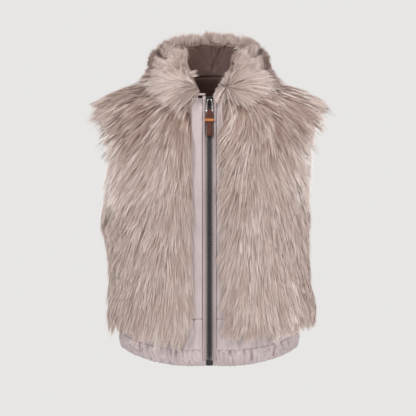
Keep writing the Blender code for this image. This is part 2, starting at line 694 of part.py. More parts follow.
def build():
    clear_scene()
    for name in ("body_warmer", "cutters"):
        bpy.context.scene.collection.children.link(bpy.data.collections.new(name))
    for hand, side in (("left", 1.0), ("right", -1.0)):
        fur_front(f"fur_front_{hand}", side)
        yoke_front(f"yoke_front_{hand}", side)
        hem_front(f"hem_front_{hand}", side)
        plackets(f"placket_{hand}", side)
        zip_facing(f"zip_facing_{hand}", side)
        zip_tape(f"zip_tape_{hand}", side)
        neck_binding(f"neck_binding_{hand}", side)
    fur_back("fur_back")
    yoke_back("yoke_back")
    hem_back("hem_back")
    lining_back("lining_back")
    collar_fur("collar_fur")
    collar_facing("collar_facing")
    frame = zip_axes(SLIDER_AT)
    zip_chain("zip_chain")
    zip_slider("zip_slider", frame)
    zip_box("zip_box")
    hinge = bpy.data.objects.new("pull_hinge", None)
    bpy.data.collections["body_warmer"].objects.link(hinge)
    hinge.matrix_world = frame @ Matrix.Translation((0.0, -HINGE_OUT, 0.0))
    pull_ring("pull_ring", hinge)
    pull_strap("pull_strap", hinge)
    pull_keeper("pull_keeper", hinge)


build()
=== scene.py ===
import math

import bmesh
import bpy
import numpy as np
from mathutils import Matrix, Vector
from mathutils.bvhtree import BVHTree
from mathutils.kdtree import KDTree


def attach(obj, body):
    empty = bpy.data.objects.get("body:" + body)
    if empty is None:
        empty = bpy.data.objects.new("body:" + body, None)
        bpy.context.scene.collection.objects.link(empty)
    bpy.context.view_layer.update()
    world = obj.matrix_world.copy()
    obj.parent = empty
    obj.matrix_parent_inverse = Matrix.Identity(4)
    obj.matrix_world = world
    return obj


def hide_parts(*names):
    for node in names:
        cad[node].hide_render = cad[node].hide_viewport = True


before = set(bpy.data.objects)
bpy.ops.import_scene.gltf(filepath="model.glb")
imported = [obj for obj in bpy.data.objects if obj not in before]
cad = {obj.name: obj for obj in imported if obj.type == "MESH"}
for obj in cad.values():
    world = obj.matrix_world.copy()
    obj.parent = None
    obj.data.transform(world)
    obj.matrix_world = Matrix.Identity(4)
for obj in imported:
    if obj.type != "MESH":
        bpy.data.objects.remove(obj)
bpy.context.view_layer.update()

# nodes and materials

def addNode(tree, kind, inputs=None, **settings):
    node = tree.nodes.new("ShaderNode" + kind)
    for key, value in settings.items():
        setattr(node, key, value)
    for key, value in (inputs or {}).items():
        socket = node.inputs[key]
        if isinstance(value, bpy.types.NodeSocket):
            tree.links.new(value, socket)
        else:
            socket.default_value = value
    return node


def remapped(tree, value, source, target, **settings):
    ends = {"From Min": source[0], "From Max": source[1], "To Min": target[0], "To Max": target[1]}
    return addNode(tree, "MapRange", {"Value": value, **ends}, **settings).outputs["Result"]


def twoTone(tree, mask, low, dark, high, light):
    ramp = addNode(tree, "ValToRGB", {"Fac": mask})
    ramp.color_ramp.elements[0].position = low
    ramp.color_ramp.elements[0].color = (*dark, 1)
    ramp.color_ramp.elements[1].position = high
    ramp.color_ramp.elements[1].color = (*light, 1)
    return ramp.outputs["Color"]


def newMaterial(name, values):
    material = bpy.data.materials.new(name)
    material.use_nodes = True
    shader = material.node_tree.nodes["Principled BSDF"]
    for key, value in values.items():
        shader.inputs[key].default_value = value
    return material, material.node_tree, shader


def newGroup(name, inputs, outputs):
    group = bpy.data.node_groups.new(name, "ShaderNodeTree")
    for label, kind, value in inputs:
        socket = group.interface.new_socket(name=label, in_out="INPUT", socket_type=kind)
        socket.default_value = value
    for label, kind in outputs:
        group.interface.new_socket(name=label, in_out="OUTPUT", socket_type=kind)
    return group, group.nodes.new("NodeGroupInput").outputs, group.nodes.new("NodeGroupOutput").inputs


def wovenGroup():
    group, given, result = newGroup(
        "woven",
        [
            ("Colour", "NodeSocketColor", (0.5, 0.4, 0.4, 1)),
            ("Threads", "NodeSocketFloat", 2600.0),
            ("Relief", "NodeSocketFloat", 0.05),
        ],
        [("Colour", "NodeSocketColor"), ("Roughness", "NodeSocketFloat"), ("Normal", "NodeSocketVector")],
    )
    place = addNode(group, "TexCoord").outputs["Object"]
    threads = {"Vector": place, "Scale": given["Threads"], "Distortion": 0.6}
    warp = addNode(group, "TexWave", threads, bands_direction="X")
    weft = addNode(group, "TexWave", threads, bands_direction="Z")
    crossed = {0: warp.outputs["Fac"], 1: weft.outputs["Fac"]}
    weave = addNode(group, "Math", crossed, operation="MULTIPLY")
    cloudy = addNode(group, "TexNoise", {"Vector": place, "Scale": 34.0, "Detail": 4.0, "Roughness": 0.6})
    patchy = remapped(group, cloudy.outputs["Fac"], (0.3, 0.7), (0.93, 1.06))
    tinted = addNode(group, "VectorMath", {0: given["Colour"], "Scale": patchy}, operation="SCALE")
    group.links.new(tinted.outputs["Vector"], result["Colour"])
    rough = remapped(group, cloudy.outputs["Fac"], (0.3, 0.7), (0.36, 0.50))
    group.links.new(rough, result["Roughness"])
    crumple = addNode(group, "TexNoise", {"Vector": place, "Scale": 120.0, "Detail": 3.0, "Roughness": 0.55})
    broad = addNode(group, "Bump", {"Strength": 0.16, "Distance": 0.002, "Height": crumple.outputs["Fac"]})
    threadRelief = {"Strength": given["Relief"], "Distance": 0.0004, "Height": weave.outputs["Value"]}
    fine = addNode(group, "Bump", {**threadRelief, "Normal": broad.outputs["Normal"]})
    group.links.new(fine.outputs["Normal"], result["Normal"])
    return group


woven = wovenGroup()


def clothMaterial(name, colour, threads=2600.0, relief=0.10, sheen=0.15, gloss=0.45):
    finish = {"Sheen Weight": sheen, "Sheen Roughness": 0.4, "Specular IOR Level": gloss}
    material, tree, shader = newMaterial(name, finish)
    cloth = addNode(tree, "Group", node_tree=woven)
    cloth.inputs["Colour"].default_value = (*colour, 1)
    cloth.inputs["Threads"].default_value = threads
    cloth.inputs["Relief"].default_value = relief
    tree.links.new(cloth.outputs["Colour"], shader.inputs["Base Color"])
    tree.links.new(cloth.outputs["Roughness"], shader.inputs["Roughness"])
    tree.links.new(cloth.outputs["Normal"], shader.inputs["Normal"])
    return material


def furMaterial(name, look):
    finish = {
        "Roughness": look["roughness"], "Specular IOR Level": 0.35,
        "Sheen Weight": look["sheen"], "Sheen Roughness": 0.5,
    }
    material, tree, shader = newMaterial(name, finish)
    strand = addNode(tree, "Attribute", attribute_name="strand")
    parts = addNode(tree, "SeparateColor", {"Color": strand.outputs["Color"]})
    ramp = addNode(tree, "ValToRGB", {"Fac": parts.outputs["Red"]})
    ramp.color_ramp.elements[0].color = (*look["root"], 1)
    ramp.color_ramp.elements[1].color = (*look["tip"], 1)
    middle = ramp.color_ramp.elements.new(look["middleAt"])
    middle.color = (*look["middle"], 1)
    lockTone, hairTone = look["lockTone"], look["hairTone"]
    lock = remapped(tree, parts.outputs["Green"], (0, 1), (1 + lockTone, 1 - lockTone), clamp=False)
    hair = remapped(tree, parts.outputs["Blue"], (0, 1), (hairTone, -hairTone))
    power = addNode(tree, "Math", {0: lock, 1: hair}, operation="ADD").outputs["Value"]
    # darker hair is warmer too
    toned = addNode(tree, "Gamma", {"Color": ramp.outputs["Color"], "Gamma": power})
    value = remapped(tree, parts.outputs["Green"], (0.15, 0.85), (look["darkest"], look["lightest"]))
    scaled = addNode(tree, "VectorMath", {0: toned.outputs["Color"], "Scale": value}, operation="SCALE")
    tree.links.new(scaled.outputs["Vector"], shader.inputs["Base Color"])
    return material


def underFurMaterial(name, dark, light):
    material, tree, shader = newMaterial(name, {"Roughness": 0.9, "Specular IOR Level": 0.1})
    place = addNode(tree, "TexCoord").outputs["Object"]
    stretched = addNode(tree, "Mapping", {"Vector": place, "Scale": (260.0, 260.0, 40.0)})
    streaks = addNode(tree, "TexNoise", {"Vector": stretched.outputs["Vector"], "Scale": 1.0, "Detail": 3.0})
    colour = twoTone(tree, streaks.outputs["Fac"], 0.3, dark, 0.7, light)
    tree.links.new(colour, shader.inputs["Base Color"])
    bump = addNode(tree, "Bump", {"Strength": 0.5, "Distance": 0.003, "Height": streaks.outputs["Fac"]})
    tree.links.new(bump.outputs["Normal"], shader.inputs["Normal"])
    return material


def mottledMaterial(name, dark, light, scale, rough, metallic=0.0, gloss=0.5, relief=0.1):
    material, tree, shader = newMaterial(name, {"Metallic": metallic, "Specular IOR Level": gloss})
    place = addNode(tree, "TexCoord").outputs["Object"]
    cloudy = addNode(tree, "TexNoise", {"Vector": place, "Scale": scale, "Detail": 4.0})
    colour = twoTone(tree, cloudy.outputs["Fac"], 0.35, dark, 0.65, light)
    tree.links.new(colour, shader.inputs["Base Color"])
    worn = remapped(tree, cloudy.outputs["Fac"], (0.3, 0.7), (rough * 0.85, rough * 1.15))
    tree.links.new(worn, shader.inputs["Roughness"])
    bump = addNode(tree, "Bump", {"Strength": relief, "Distance": 0.0003, "Height": cloudy.outputs["Fac"]})
    tree.links.new(bump.outputs["Normal"], shader.inputs["Normal"])
    return material


furLook = dict(
    root=(0.25, 0.168, 0.136), middle=(0.55, 0.423, 0.374), tip=(0.72, 0.585, 0.530), middleAt=0.42,
    lockTone=0.54, hairTone=0.16, darkest=0.84, lightest=1.06, roughness=0.46, sheen=0.2,
)
furHair = furMaterial("fur hair", furLook)
# painted shade: the under-fur is coloured darker than the hair, so the partings between locks show dark
furUnder = underFurMaterial("fur under", (0.19, 0.13, 0.105), (0.36, 0.27, 0.23))
shellCloth = clothMaterial("shell cloth", (0.53, 0.440, 0.446))
tapeCloth = clothMaterial("zip tape", (0.50, 0.41, 0.40), threads=1500.0, relief=0.35)
# painted shade: the inside's cloth is coloured far darker than the shell, for the shade inside the collar and
# body
liningPaintedShade = clothMaterial("lining painted shade", (0.132, 0.077, 0.063), sheen=0.03, gloss=0.2)
threadCloth = clothMaterial("thread", (0.15, 0.085, 0.070), threads=4000.0)
teethPlastic = mottledMaterial("zip teeth", (0.012, 0.012, 0.014), (0.026, 0.026, 0.030), 400.0, 0.36)
sliderMetal = mottledMaterial("slider metal", (0.004, 0.004, 0.005), (0.010, 0.010, 0.011), 300.0, 0.34)
ringMetal = mottledMaterial("ring metal", (0.62, 0.61, 0.60), (0.80, 0.79, 0.78), 500.0, 0.22, metallic=1.0)
strapLeather = mottledMaterial(
    "strap leather", (0.048, 0.0105, 0.0065), (0.110, 0.029, 0.0145), 350.0, 0.5, gloss=0.3, relief=0.35,
)
keeperLeather = mottledMaterial(
    "keeper leather", (0.36, 0.115, 0.025), (0.52, 0.19, 0.05), 400.0, 0.45, relief=0.3,
)
print("materials made")

# shapes

def weldedCopy(name):
    shape = bmesh.new()
    shape.from_mesh(cad[name].data)
    bmesh.ops.remove_doubles(shape, verts=shape.verts, dist=0.00002)
    bmesh.ops.recalc_face_normals(shape, faces=shape.faces)
    return shape


def addPiece(name, mesh, materials, replaced=(), body="garment", smooth=True):
    for material in materials:
        mesh.materials.append(material)
    if smooth:
        mesh.shade_smooth()
    piece = bpy.data.objects.new(name, mesh)
    bpy.context.scene.collection.objects.link(piece)
    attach(piece, body)
    if replaced:
        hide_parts(*replaced)
    return piece


def meshOf(shape, name):
    mesh = bpy.data.meshes.new(name)
    shape.to_mesh(mesh)
    shape.free()
    return mesh


def coordinates(mesh):
    flat = np.empty(len(mesh.vertices) * 3, np.float32)
    mesh.vertices.foreach_get("co", flat)
    return flat.reshape(-1, 3).astype(float)


def vertexNormals(mesh):
    flat = np.empty(len(mesh.vertices) * 3, np.float32)
    mesh.vertex_normals.foreach_get("vector", flat)
    return flat.reshape(-1, 3).astype(float)


def setCoordinates(mesh, points):
    mesh.vertices.foreach_set("co", points.astype(np.float32).ravel())
    mesh.update()


def unit(vectors):
    return vectors / np.maximum(np.linalg.norm(vectors, axis=-1, keepdims=True), 1e-9)


def eased(value, low, high):
    share = np.clip((value - low) / (high - low), 0, 1)
    return share * share * (3 - 2 * share)


def refinedMesh(name, levels, hold=0.8):
    # the CAD wall as quads, smoothed finer, with its rims kept
    shape = weldedCopy(name)
    bmesh.ops.join_triangles(shape, faces=shape.faces, angle_face_threshold=0.6, angle_shape_threshold=1.2)
    creases = shape.edges.layers.float.new("crease_edge")
    for edge in shape.edges:
        if len(edge.link_faces) == 2 and edge.calc_face_angle() > math.radians(50):
            edge[creases] = hold
    draft = bpy.data.objects.new("draft", meshOf(shape, "draft"))
    bpy.context.scene.collection.objects.link(draft)
    finer = draft.modifiers.new("finer", "SUBSURF")
    finer.levels = finer.render_levels = levels
    mesh = bpy.data.meshes.new_from_object(draft.evaluated_get(bpy.context.evaluated_depsgraph_get()))
    bpy.data.objects.remove(draft)
    return mesh


# fur

formSettings = dict(  # the wearer inside, in metres
    coreHalf=0.05, coreWider=0.06, armFoot=-0.19, coreTop=-0.07,
    neckShift=0.011, neckRadius=0.078, halfWide=0.157, halfDeep=0.108, girthRadius=0.134, furFoot=-0.4065,
)


def awayFromBody(points):
    # out from a flat core that widens to the shoulders
    top = formSettings["coreTop"]
    wider = formSettings["coreWider"] * eased(points[:, 2], formSettings["armFoot"], top)
    half = formSettings["coreHalf"] + wider
    sideways = np.clip(points[:, 0], -half, half)
    core = np.stack([sideways, np.zeros(len(points)), np.minimum(points[:, 2], top)], axis=-1)
    return unit(points - core)


def awayFromNeck(points):
    forward = points[:, 1] + formSettings["neckShift"]
    return unit(np.stack([points[:, 0], forward, np.zeros(len(points))], axis=-1))


def splitSkins(shape, away):
    # the backing looks at the wearer, a rim stands above the cloth, the rest is the fur's outside
    centres = np.array([face.calc_center_median() for face in shape.faces])
    normals = np.array([face.normal for face in shape.faces])
    footFace = (centres[:, 2] < -0.3) & (normals[:, 2] < -0.35)
    footFace = footFace | (centres[:, 2] < formSettings["furFoot"])
    looksIn = ((normals * away(centres)).sum(-1) < -0.4) & ~footFace
    inner = [face for face, turnedIn in zip(shape.faces, looksIn) if turnedIn]
    outside = [face for face, turnedIn in zip(shape.faces, looksIn) if not turnedIn]
    if away is not awayFromNeck:
        return inner, outside, []
    cloth = weldedCopy("collar_facing")
    clothTree = treeOf(cloth.faces)
    backing = [face for face in inner if clothTree.find_nearest(face.calc_center_median())[3] < 0.003]
    rim = [face for face in inner if clothTree.find_nearest(face.calc_center_median())[3] >= 0.003]
    cloth.free()
    return backing, outside, rim


def treeOf(faces):
    verts = {vert: number for number, vert in enumerate({vert for face in faces for vert in face.verts})}
    corners = [[verts[vert] for vert in face.verts] for face in faces]
    return BVHTree.FromPolygons([vert.co.copy() for vert in verts], corners)


def underFur(name, node, away, share):
    # the dense short fur over the backing, the CAD wall with its skin drawn in
    shape = weldedCopy(node)
    backing = splitSkins(shape, away)[0]
    tree = treeOf(backing)
    held = {vert for face in backing for vert in face.verts}
    for face in shape.faces:
        face.material_index = 0
    for face in backing:
        face.material_index = 1
    for vert in shape.verts:
        if vert not in held:
            near = tree.find_nearest(vert.co)[0]
            vert.co = near.lerp(vert.co, share)
    bmesh.ops.join_triangles(shape, faces=shape.faces, angle_face_threshold=0.6, angle_shape_threshold=1.2)
    return addPiece(name, meshOf(shape, name), [furUnder, liningPaintedShade], [node])


def scatter(faces, count, rng):
    # roots on the backing, evenly by area, with its smooth outward direction
    corners = np.array([[vert.co for vert in face.verts] for face in faces])
    byVert = {}
    for face in faces:
        for vert in face.verts:
            byVert[vert] = byVert.get(vert, Vector()) + face.normal
    smooth = np.array([[-byVert[vert].normalized() for vert in face.verts] for face in faces])
    area = np.array([face.calc_area() for face in faces])
    chosen = rng.choice(len(faces), count, p=area / area.sum())
    a, b = rng.random((2, count))
    over = a + b > 1
    a, b = np.where(over, 1 - a, a), np.where(over, 1 - b, b)
    weights = np.stack([1 - a - b, a, b], axis=-1)[..., None]
    return (corners[chosen] * weights).sum(1), unit((smooth[chosen] * weights).sum(1))


def combed(points, strokes):
    # flow at each point from the nearest comb strokes
    strokes = np.array(strokes)
    places, flows = strokes[:, :3] / 1000, unit(strokes[:, 3:])
    gap = ((points[:, None] - places[None]) ** 2).sum(-1)
    weight = 1 / (gap + 0.022**2) ** 2
    return unit((weight[..., None] * flows[None]).sum(1))


def nearestOf(points, chosen):
    tree = KDTree(len(chosen))
    for number, index in enumerate(chosen):
        tree.insert(points[index], number)
    tree.balance()
    return np.array([tree.find(point)[1] for point in points])


def turned(flow, normals, angle):
    return flow * np.cos(angle)[:, None] + np.cross(normals, flow) * np.sin(angle)[:, None]


def hairMesh(name, paths, facing, width, roll, tones, paleRoot):
    # each hair is a narrow tapered blade of two stretches, shaded with the lie of the coat
    count = len(paths)
    ahead = unit(np.gradient(paths, axis=1))
    side = unit(np.cross(ahead, facing[:, None]))
    lift = np.cross(side, ahead)
    side = side * np.cos(roll)[:, None, None] + lift * np.sin(roll)[:, None, None]
    own = np.cross(side, ahead)
    shading = unit(facing[:, None] + own * np.sign((own * facing[:, None]).sum(-1, keepdims=True)) * 0.5)
    points = np.empty((count, 5, 3))
    normals = np.empty((count, 5, 3))
    points[:, 0:4:2] = paths[:, :2] - side[:, :2] * width[:, :2, None] / 2
    points[:, 1:4:2] = paths[:, :2] + side[:, :2] * width[:, :2, None] / 2
    points[:, 4] = paths[:, 2]
    normals[:, 0:4:2] = normals[:, 1:4:2] = shading[:, :2]
    normals[:, 4] = shading[:, 2]
    faces = np.array([(0, 1, 3), (0, 3, 2), (2, 3, 4)])
    mesh = bpy.data.meshes.new(name)
    blades = faces[None] + np.arange(count)[:, None, None] * 5
    mesh.from_pydata(points.reshape(-1, 3).tolist(), [], blades.reshape(-1, 3).tolist())
    along = np.array([0, 0, 0.5, 0.5, 1.0])
    colour = np.ones((count, 5, 4), np.float32)
    colour[:, :, 0] = paleRoot + (1 - paleRoot) * along
    colour[:, :, 1:3] = tones[:, None]
    mesh.color_attributes.new("strand", "FLOAT_COLOR", "POINT").data.foreach_set("color", colour.ravel())
    cells = math.ceil(math.sqrt(count))
    across = np.array([0.1, 0.9, 0.1, 0.9, 0.5])
    corner = np.empty((count, 3, 3, 2), np.float32)
    corner[..., 0] = ((np.arange(count) % cells)[:, None, None] + across[faces]) / cells
    corner[..., 1] = ((np.arange(count) // cells)[:, None, None] + 0.1 + 0.8 * along[faces]) / cells
    mesh.uv_layers.new(name="OFBake").data.foreach_set("uv", corner.ravel())
    mesh.shade_smooth()
    mesh.normals_split_custom_set_from_vertices(normals.reshape(-1, 3).tolist())
    return mesh


def beyond(tree, points):
    # how far each point stands outside a skin, and which way out is
    found = [tree.find_nearest(Vector(point)) for point in points]
    near, out = np.array([hit[0] for hit in found]), np.array([hit[1] for hit in found])
    gap = points - near
    far = np.linalg.norm(gap, axis=-1)
    return np.where((gap * out).sum(-1) > 0, far, 0), gap / np.maximum(far, 1e-9)[:, None]


coat = dict(  # what all the fur shares, in metres
    deepest=0.06, rimRoot=0.22, front=-0.045,  # longest pile, roots' share of the rim, what counts as front
    partFoot=-0.34, partDeep=0.03, partTurnWide=0.008, partLowWide=0.003,  # partings
    armX=(0.120, 0.150), armZ=(-0.20, -0.15), armWander=0.06, armLoose=0.4, armPaintedLight=0.4,  # armholes, where the hair gets painted light
    topFuller=0.16, topZ=(-0.07, -0.03), shadeZ=(-0.14, -0.045),  # shoulders; shadeZ is where the hair gets painted shade under the collar
    footLonger=0.95, footRun=0.018, footY=(0.03, 0.06), loose=0.024,  # foot of the collar
    zipSpare=0.020, zipFade=0.012, hemZ=(-0.420, -0.385), ragged=0.012, raggedZ=(0.410, 0.430),  # free edges
    leastLength=0.35, leastCut=0.4,  # shares of a hair that trimming leaves
)


def partedFlow(roots, normals, flow, fur, rng):
    # hair turns away from short partings that run with the nap, and lies lower in them
    turn, low = np.zeros(len(roots)), np.ones(len(roots))
    inside = np.nonzero(roots[:, 2] > coat["partFoot"])[0]
    for middle in rng.choice(inside, fur["partings"], replace=False):
        gap = roots - roots[middle]
        along, across = gap @ flow[middle], gap @ np.cross(normals[middle], flow[middle])
        stretch = fur["partLong"] * rng.uniform(0.6, 1.3)
        near = np.exp(-((along / stretch) ** 2)) * (np.abs(gap @ normals[middle]) < coat["partDeep"])
        turn += np.sign(across) * fur["partTurn"] * near * np.exp(-((across / coat["partTurnWide"]) ** 2))
        low *= 1 - fur["partLow"] * near * np.exp(-((across / coat["partLowWide"]) ** 2))
    return turned(flow, normals, np.clip(turn, -0.6, 0.6)), low


def allFurSkin():
    shapes = [weldedCopy(node) for node in ("fur_front_left", "fur_front_right", "fur_back", "collar_fur")]
    tree = treeOf([face for shape in shapes for face in shape.faces])
    for shape in shapes:
        shape.free()
    return tree


furSkin = allFurSkin()
# fuller fur: side, height, half height and reach
furBulges = [(-1, -0.226, 0.050, 0.016), (1, -0.385, 0.045, 0.009)]
# height and half width of the collar, in mm
collarWidest = [(0, 150), (15, 120), (35, 108), (58, 106), (72, 98), (84, 89), (94, 74), (106, 46)]
# height, then how far the hair keeps from the middle on the right and on the left front, in mm
clearRows = [
    (-430, 31, 15), (-100, 31, 16), (-60, 30, 18), (-36, 28, 18), (-27, 21, 16), (-17, 13, 10),
    (-6, 21, 19), (6, 15, 24), (22, 21, 31), (40, 31, 42), (70, 31, 46),
]


def rootsOn(node, away, fur, rng):
    # the roots, which way is out there, and how deep the pile is
    shape = weldedCopy(node)
    backing, outside, rim = splitSkins(shape, away)
    roots, normals = scatter(rim if fur["onRim"] else backing, fur["count"], rng)
    if fur["onRim"]:
        cloth = treeOf(backing)
        foot = np.array([cloth.find_nearest(Vector(root))[0] for root in roots])
        roots = foot + (roots - foot) * coat["rimRoot"]
    skin = treeOf(outside)
    pile = []
    for root, normal in zip(roots, normals):
        depth = skin.ray_cast(Vector(root + normal * 0.0005), Vector(normal), coat["deepest"])[3]
        pile.append(depth or skin.find_nearest(Vector(root))[3])
    shape.free()
    return roots, normals, np.clip(pile, fur["leastPile"], fur["mostPile"])


def outsideBy(points, fur, ragged):
    # how far points stand past the fur's skin, less what is spared at free edges and where fur is fuller
    over, out = beyond(furSkin, points)
    x, y, z = points.T
    spare = coat["zipSpare"] * eased(fur["freeX"] - np.abs(x), 0.0, coat["zipFade"]) * eased(z, *coat["hemZ"])
    spare = np.maximum(spare, np.where((z < fur["looseBelow"]) & (y < coat["front"]), coat["loose"], 0))
    spare = np.maximum(spare, ragged * eased(-z, *coat["raggedZ"]))
    for side, level, tall, far in furBulges:
        spare = spare + far * np.exp(-(((z - level) / tall) ** 2)) * eased(side * x, 0.12, 0.16)
    return np.maximum(over - spare, 0), out


def intoOpening(paths, side, edge):
    # how far hair reaches into the opening of the neck or over the zip
    levels, rightLimit, leftLimit = np.array(clearRows).T / 1000
    rightKeep = np.interp(paths[..., 2], levels, rightLimit)
    leftKeep = np.interp(paths[..., 2], levels, leftLimit)
    limit = np.where(side < 0, rightKeep, leftKeep) + edge
    return np.maximum(limit - side * paths[..., 0], 0) * (paths[..., 1] < coat["front"])


def trimmed(paths, roots, edge, onCollar):
    # hair ends at the opening, and on the collar at its widest
    side = np.sign(roots[:, 0])[:, None]
    into = intoOpening(paths, side, edge)[:, 2]
    run = np.maximum(np.abs(roots[:, 0]) - side[:, 0] * paths[:, 2, 0], 0.002)
    kept = np.clip(1 - into / run, coat["leastCut"], 1)
    paths = roots[:, None] + (paths - roots[:, None]) * kept[:, None, None]
    paths[:, 1:, 0] += side * intoOpening(paths, side, edge)[:, 1:]
    if onCollar:
        widest = np.interp(paths[..., 2], *np.array(collarWidest).T / 1000) + edge * 1.3
        paths[..., 0] = np.clip(paths[..., 0], -widest, widest)
    return paths


def growFur(name, node, away, comb, fur, seed):
    rng = np.random.default_rng(seed)
    roots, normals, pile = rootsOn(node, away, fur, rng)
    count = len(roots)
    flow = comb(roots, normals)
    flow = unit(flow - normals * (flow * normals).sum(-1, keepdims=True) * fur["flatten"])
    flow, low = partedFlow(roots, normals, flow, fur, rng)

    # each hair follows the middle hair of its lock, its wisp and its tuft
    locks = rng.choice(count, fur["locks"], replace=False)
    tufts = rng.choice(count, fur["tufts"], replace=False)
    wisps = rng.choice(count, fur["wisps"], replace=False)
    lockOf, wispOf, tuftOf = nearestOf(roots, locks), nearestOf(roots, wisps), nearestOf(roots, tufts)
    wander = rng.normal(0, fur["lockWander"], len(locks))[lockOf]
    wander = wander + rng.normal(0, fur["tuftWander"], len(tufts))[tuftOf]
    atArm = fur["armSoft"] * eased(np.abs(roots[:, 0]), *coat["armX"]) * eased(roots[:, 2], *coat["armZ"])
    wander = wander + rng.normal(0, 1, count) * (fur["wander"] + coat["armWander"] * atArm)
    flow = turned(flow, normals, wander)
    flow = unit(flow + normals * rng.normal(0, fur["tilt"], len(locks))[lockOf][:, None])
    ragged = rng.uniform(0.0, coat["ragged"], len(tufts))[tuftOf]

    # length and height
    length = fur["length"] * rng.uniform(0.9, 1.1, len(locks))[lockOf]
    length = length * rng.uniform(0.75, 1.1, len(tufts))[tuftOf] * rng.uniform(0.8, 1.08, count)
    atFoot = eased(-roots[:, 2], -fur["longBelow"], coat["footRun"] - fur["longBelow"])
    length = length * (1 + coat["footLonger"] * atFoot * eased(-roots[:, 1], *coat["footY"]))
    height = pile * low * rng.uniform(*fur["lockHeight"], len(locks))[lockOf]
    height = height * rng.uniform(*fur["tuftHeight"], len(tufts))[tuftOf] * rng.uniform(0.95, 1.02, count)
    height = height * rng.uniform(*fur["wispHeight"], len(wisps))[wispOf]
    height = height * (1 + coat["topFuller"] * eased(roots[:, 2], *coat["topZ"]))
    for side, level, tall, far in furBulges:
        bulge = far * np.exp(-(((roots[:, 2] - level - 0.02) / tall) ** 2))
        height = height + bulge * eased(side * roots[:, 0], 0.09, 0.14)
    stray = rng.random(count) < fur["stray"]
    height = np.where(stray, pile * rng.uniform(1.0, fur["strayHeight"], count), height)
    step = np.array([0.0, 0.5, 1.0])
    rise = fur["start"] + (1 - fur["start"]) * (1 - (1 - step) ** fur["lie"])
    reach = 0.22 * step + 0.78 * step**1.35
    follow = np.where(stray, 0.1, 1.0) * (1 - coat["armLoose"] * atArm)
    pull = (follow[:, None] * step**1.3)[..., None]

    def laid(length):
        lift = normals[:, None] * (height[:, None] * rise)[..., None]
        paths = roots[:, None] + lift + flow[:, None] * (length[:, None] * reach)[..., None]
        paths[..., 2] -= fur["droop"] * length[:, None] * step**2
        paths = paths + (paths[tufts][tuftOf] - paths) * pull * fur["tuftPull"]
        paths = paths + (paths[wisps][wispOf] - paths) * pull * fur["wispPull"]
        return paths + (paths[locks][lockOf] - paths) * pull * fur["lockPull"]

    # hair that stands past the skin is laid again shorter, then drawn in
    paths = laid(length)
    over, out = outsideBy(paths[:, 2], fur, ragged)
    over = np.maximum(over - rng.uniform(-fur["short"], fur["past"], count), 0)
    heading = np.maximum((unit(paths[:, 2] - paths[:, 1]) * out).sum(-1), 0.25)
    paths = laid(length * np.clip(1 - over / heading / length, coat["leastLength"], 1))
    for place in (1, 2):
        over, out = outsideBy(paths[:, place], fur, ragged)
        paths[:, place] -= out * np.maximum(over - fur["past"], 0)[:, None]
    edge = rng.uniform(-0.005, 0.003, len(tufts))[tuftOf] + rng.uniform(-0.006, 0.004, count)
    paths = trimmed(paths, roots, edge[:, None], away is awayFromNeck)
    tucked = np.clip((fur["freeX"] - 0.009 - np.abs(paths[..., 0])) / 0.02, 0, 1)
    paths[..., 1] += tucked * fur["tuck"]

    # widths and tones
    width = fur["width"] * rng.uniform(0.7, 1.25, count)[:, None] * np.array([0.9, 1.0, 0.0])
    tone = rng.random(len(locks))[lockOf] * 0.25 + rng.random(len(wisps))[wispOf] * 0.40
    tone = tone + rng.random(len(tufts))[tuftOf] * 0.35
    tones = np.stack([tone, rng.random(count)], axis=-1)
    # painted shade: the hair is coloured darker towards the top, under the collar, more in some wisps than
    # others
    topShade = fur["topShade"] * eased(roots[:, 2], *coat["shadeZ"])
    tones[:, 0] -= topShade * rng.uniform(-0.4, 2.0, len(wisps))[wispOf]
    # painted light: hair at the armholes is coloured lighter where it lies in shade
    tones[:, 0] += coat["armPaintedLight"] * atArm + fur["paintedLight"]
    mesh = hairMesh(name, paths, normals, width, rng.uniform(-0.7, 0.7, count), tones, fur["paleRoot"])
    print(name, count, "hairs")
    return addPiece(name, mesh, [furHair], smooth=False)


# locks are wider than wisps, and wisps than tufts, lengths in metres and turns in radians
frontFur = dict(
    count=60000, locks=330, wisps=2400, tufts=10000, partings=45,
    length=0.054, width=0.0009, start=0.30, lie=1.9, flatten=1.0, droop=0.06, tilt=0.0,
    leastPile=0.008, mostPile=0.034, lockHeight=(0.93, 1.0), wispHeight=(0.86, 1.0), tuftHeight=(0.88, 1.0),
    lockWander=0.09, tuftWander=0.07, wander=0.03, lockPull=0.08, wispPull=0.22, tuftPull=0.5,
    partLong=0.020, partTurn=0.11, partLow=0.16, stray=0.03, strayHeight=1.12,
    past=0.005, short=0.0, freeX=0.045, tuck=0.006, looseBelow=-9.0, longBelow=-9.0, onRim=False,
    topShade=0.45, armSoft=1.0, paintedLight=0.0, paleRoot=0.0,
)
backFur = dict(frontFur, wisps=4800, locks=700, tufts=14000, partings=90, width=0.0014, freeX=0.0, tuck=0.0)
# painted light: the collar's hair is coloured lighter and paler at the root than the body's, for the top
# light it catches and against the shade in its gaps
collarFur = dict(
    backFur, count=56000, wisps=2100, locks=260, tufts=8000, partings=40, length=0.044, width=0.0009,
    leastPile=0.010, flatten=0.5, lockWander=0.25, tuftWander=0.16, wander=0.08, tuftPull=0.4, partLow=0.3,
    stray=0.12, strayHeight=1.25, droop=0.06, tilt=0.22, past=0.006, short=0.008, looseBelow=0.030,
    longBelow=0.012, topShade=0.0, armSoft=0.0, paintedLight=0.05, paleRoot=0.2,
)
rimFur = dict(
    collarFur, count=24000, wisps=800, locks=190, tufts=3600, partings=8, length=0.034, width=0.0007,
    leastPile=0.003, mostPile=0.006, lockWander=0.38, tuftWander=0.35, wander=0.25, droop=0.0, tilt=0.32,
    past=0.007, looseBelow=-9.0, longBelow=-9.0, onRim=True,
)

